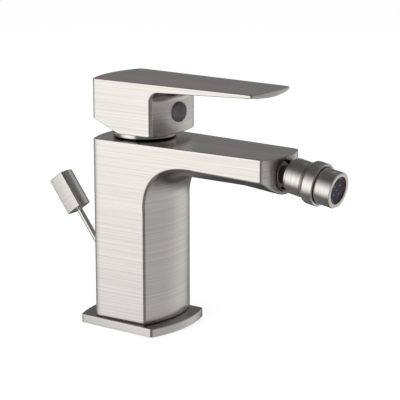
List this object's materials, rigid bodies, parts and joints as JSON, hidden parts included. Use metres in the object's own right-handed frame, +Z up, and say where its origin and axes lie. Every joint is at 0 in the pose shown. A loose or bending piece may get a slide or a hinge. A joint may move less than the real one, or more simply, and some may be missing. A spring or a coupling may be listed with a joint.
{
  "type": "bidet mixer",
  "caption": "Single lever bidet mixer with a square column, a short spout, a ball jointed spray nozzle and a lift rod for the waste.",
  "frame": {"origin": "centre of the fixing stud holes at the underside of the base, on the deck", "axes": "+X along the spout towards the user, +Z up, hot side towards -Y"},
  "size_m": [0.2133, 0.0546, 0.155],
  "materials": {
    "brushed_nickel": "brushed nickel plating on brass",
    "bright_nickel": "satin nickel plating",
    "plain_brass": "machined",
    "plain_steel": "plain stainless",
    "dark_plastic": "matt",
    "plug_plastic": "satin grey",
    "screen_plastic": "satin blue grey",
    "white_plastic": "natural",
    "ceramic": "lapped",
    "black_rubber": "matt",
    "hot_red": "gloss",
    "cold_blue": "gloss"
  },
  "bodies": {
    "base": {"base_plate": "brushed_nickel", "base_gasket": "black_rubber", "body": "brushed_nickel", "cartridge_base": "dark_plastic", "port_seals": "black_rubber", "cartridge_housing": "dark_plastic", "fixed_disc": "ceramic", "retaining_nut": "plain_brass", "collar_ring": "bright_nickel", "socket_bush": "bright_nickel", "stem_washer": "black_rubber", "ball_stem": "bright_nickel", "rod_bush": "white_plastic", "rod_seal": "black_rubber"},
    "turning_core": {"rotor": "white_plastic", "pivot_pin": "plain_steel"},
    "lever": {"handle": "brushed_nickel", "spindle": "plain_brass", "set_screw": "plain_steel", "handle_plug": "plug_plastic", "hot_mark": "hot_red", "cold_mark": "cold_blue"},
    "sliding_disc": {"disc_carrier": "white_plastic", "moving_disc": "ceramic"},
    "nozzle_swing": {"ball_seat": "white_plastic"},
    "nozzle_nod": {"ball_seal": "black_rubber"},
    "nozzle": {"swivel_sleeve": "brushed_nickel", "swivel_collar": "brushed_nickel", "aerator_housing": "brushed_nickel", "aerator_gasket": "black_rubber", "aerator_insert": "white_plastic", "aerator_screen": "screen_plastic"},
    "waste_lift": {"lift_rod": "bright_nickel", "lift_knob": "brushed_nickel"}
  },
  "joints": [
    {"name": "lever_turn", "type": "hinge", "parent": "base", "child": "turning_core", "pos_m": [0.003, 0, 0.1125], "axis": [0, 0, 1], "range_deg": [-50, 50]},
    {"name": "lever_lift", "type": "hinge", "parent": "turning_core", "child": "lever", "pos_m": [0.003, 0, 0.1125], "axis": [0, -1, 0], "range_deg": [0, 22]},
    {"name": "disc_slide", "type": "slide", "parent": "turning_core", "child": "sliding_disc", "axis": [1, 0, 0], "range_m": [0, 0.0031]},
    {"name": "nozzle_yaw", "type": "hinge", "parent": "base", "child": "nozzle_swing", "pos_m": [0.1124, 0, 0.1069], "axis": [0, 0, 1], "range_deg": [-12, 12]},
    {"name": "nozzle_pitch", "type": "hinge", "parent": "nozzle_swing", "child": "nozzle_nod", "pos_m": [0.1124, 0, 0.1069], "axis": [0, 1, 0], "range_deg": [-18, 7]},
    {"name": "nozzle_spin", "type": "hinge", "parent": "nozzle_nod", "child": "nozzle", "pos_m": [0.1124, 0, 0.1069], "axis": [0.9863, 0, -0.165], "continuous": true},
    {"name": "rod_lift", "type": "slide", "parent": "base", "child": "waste_lift", "axis": [-0.6018, 0, 0.7986], "range_m": [0, 0.022]}
  ],
  "couplings": [
    {"joint": "disc_slide", "follows": "lever_lift", "m_per_rad": 0.0078}
  ]
}
